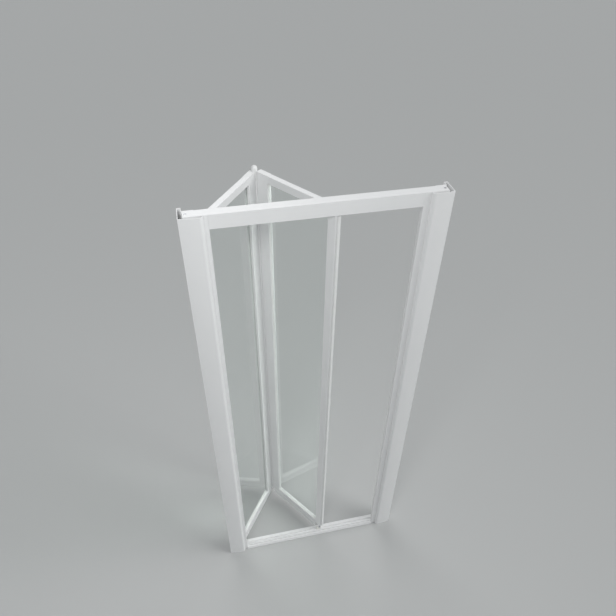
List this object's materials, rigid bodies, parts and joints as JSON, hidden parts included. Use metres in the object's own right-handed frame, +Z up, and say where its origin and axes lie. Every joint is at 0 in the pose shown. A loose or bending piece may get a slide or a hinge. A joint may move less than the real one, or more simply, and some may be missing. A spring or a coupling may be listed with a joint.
{
  "type": "shower door",
  "caption": "Framed two-leaf folding door for a shower niche: telescoping wall profiles, rails, glazed leaves that fold inward on pivots, a fold hinge and guide shoes.",
  "frame": {"origin": "on the sill under the pivot line, midway between the two walls", "axes": "+X along the opening from the hinge side to the closing side, +Y into the shower, +Z up"},
  "size_m": [0.79, 0.295, 1.85],
  "materials": {
    "white_frame": "satin white powder coat",
    "white_plastic": "moulded white plastic",
    "clear_panel": "clear, polished",
    "seal": "soft pale grey vinyl",
    "steel": "bright stainless",
    "nylon": "natural white nylon"
  },
  "bodies": {
    "frame": {"wall_profile_left": "white_frame", "wall_profile_right": "white_frame", "jamb_left": "white_frame", "jamb_right": "white_frame", "top_rail": "white_frame", "bottom_rail": "white_frame", "sill_end_blocks": "nylon", "corner_brackets": "steel", "frame_screws": "steel", "adjusting_screws": "steel", "adjusting_screw_caps": "white_plastic", "top_pivot_bracket": "nylon", "top_pivot_bush": "nylon", "bottom_pivot_bracket": "nylon", "bottom_pivot_bush": "nylon", "pivot_bracket_screws": "steel", "heel_seal": "seal", "hinge_side_seal": "seal", "jamb_magnet_strip": "seal"},
    "leaf_a": {"leaf_a_hinge_stile": "white_frame", "leaf_a_fold_stile": "white_frame", "leaf_a_top_rail": "white_frame", "leaf_a_bottom_rail": "white_frame", "leaf_a_panel": "clear_panel", "leaf_a_gaskets": "seal", "leaf_a_corner_keys": "nylon", "leaf_a_screws": "steel", "leaf_a_end_plugs": "white_plastic", "leaf_a_wiper": "seal", "fold_hinge_a": "white_frame", "fold_hinge_pin": "steel", "fold_hinge_dome": "white_plastic", "fold_hinge_foot_cap": "white_plastic", "pivot_pins": "steel", "pivot_washers": "nylon"},
    "leaf_b": {"leaf_b_fold_stile": "white_frame", "leaf_b_lead_stile": "white_frame", "leaf_b_top_rail": "white_frame", "leaf_b_bottom_rail": "white_frame", "leaf_b_panel": "clear_panel", "leaf_b_gaskets": "seal", "leaf_b_corner_keys": "nylon", "leaf_b_screws": "steel", "leaf_b_end_plugs": "white_plastic", "leaf_b_wiper": "seal", "fold_hinge_b": "white_frame", "leaf_b_magnet_strip": "seal", "guide_pins": "steel", "guide_pin_clips": "steel"},
    "top_shoe": {"top_guide_shoe": "nylon"},
    "bottom_shoe": {"bottom_guide_shoe": "nylon"}
  },
  "joints": [
    {"name": "leaf_a_pivot", "type": "hinge", "parent": "frame", "child": "leaf_a", "pos_m": [-0.337, 0, 0], "axis": [0, 0, 1], "range_deg": [-54.5, 30.5]},
    {"name": "fold_hinge", "type": "hinge", "parent": "leaf_a", "child": "leaf_b", "pos_m": [-0.14594, 0.25064, 0], "axis": [0, 0, 1], "range_deg": [-61, 109]},
    {"name": "top_shoe_pivot", "type": "hinge", "parent": "leaf_b", "child": "top_shoe", "pos_m": [0.04512, 0, 1.833], "axis": [0, 0, 1], "range_deg": [-54.5, 30.5]},
    {"name": "bottom_shoe_pivot", "type": "hinge", "parent": "leaf_b", "child": "bottom_shoe", "pos_m": [0.04512, 0, 0.022], "axis": [0, 0, 1], "range_deg": [-54.5, 30.5]}
  ],
  "couplings": [
    {"joint": "fold_hinge", "follows": "leaf_a_pivot", "ratio": -2},
    {"joint": "top_shoe_pivot", "follows": "leaf_a_pivot", "ratio": 1},
    {"joint": "bottom_shoe_pivot", "follows": "leaf_a_pivot", "ratio": 1}
  ]
}
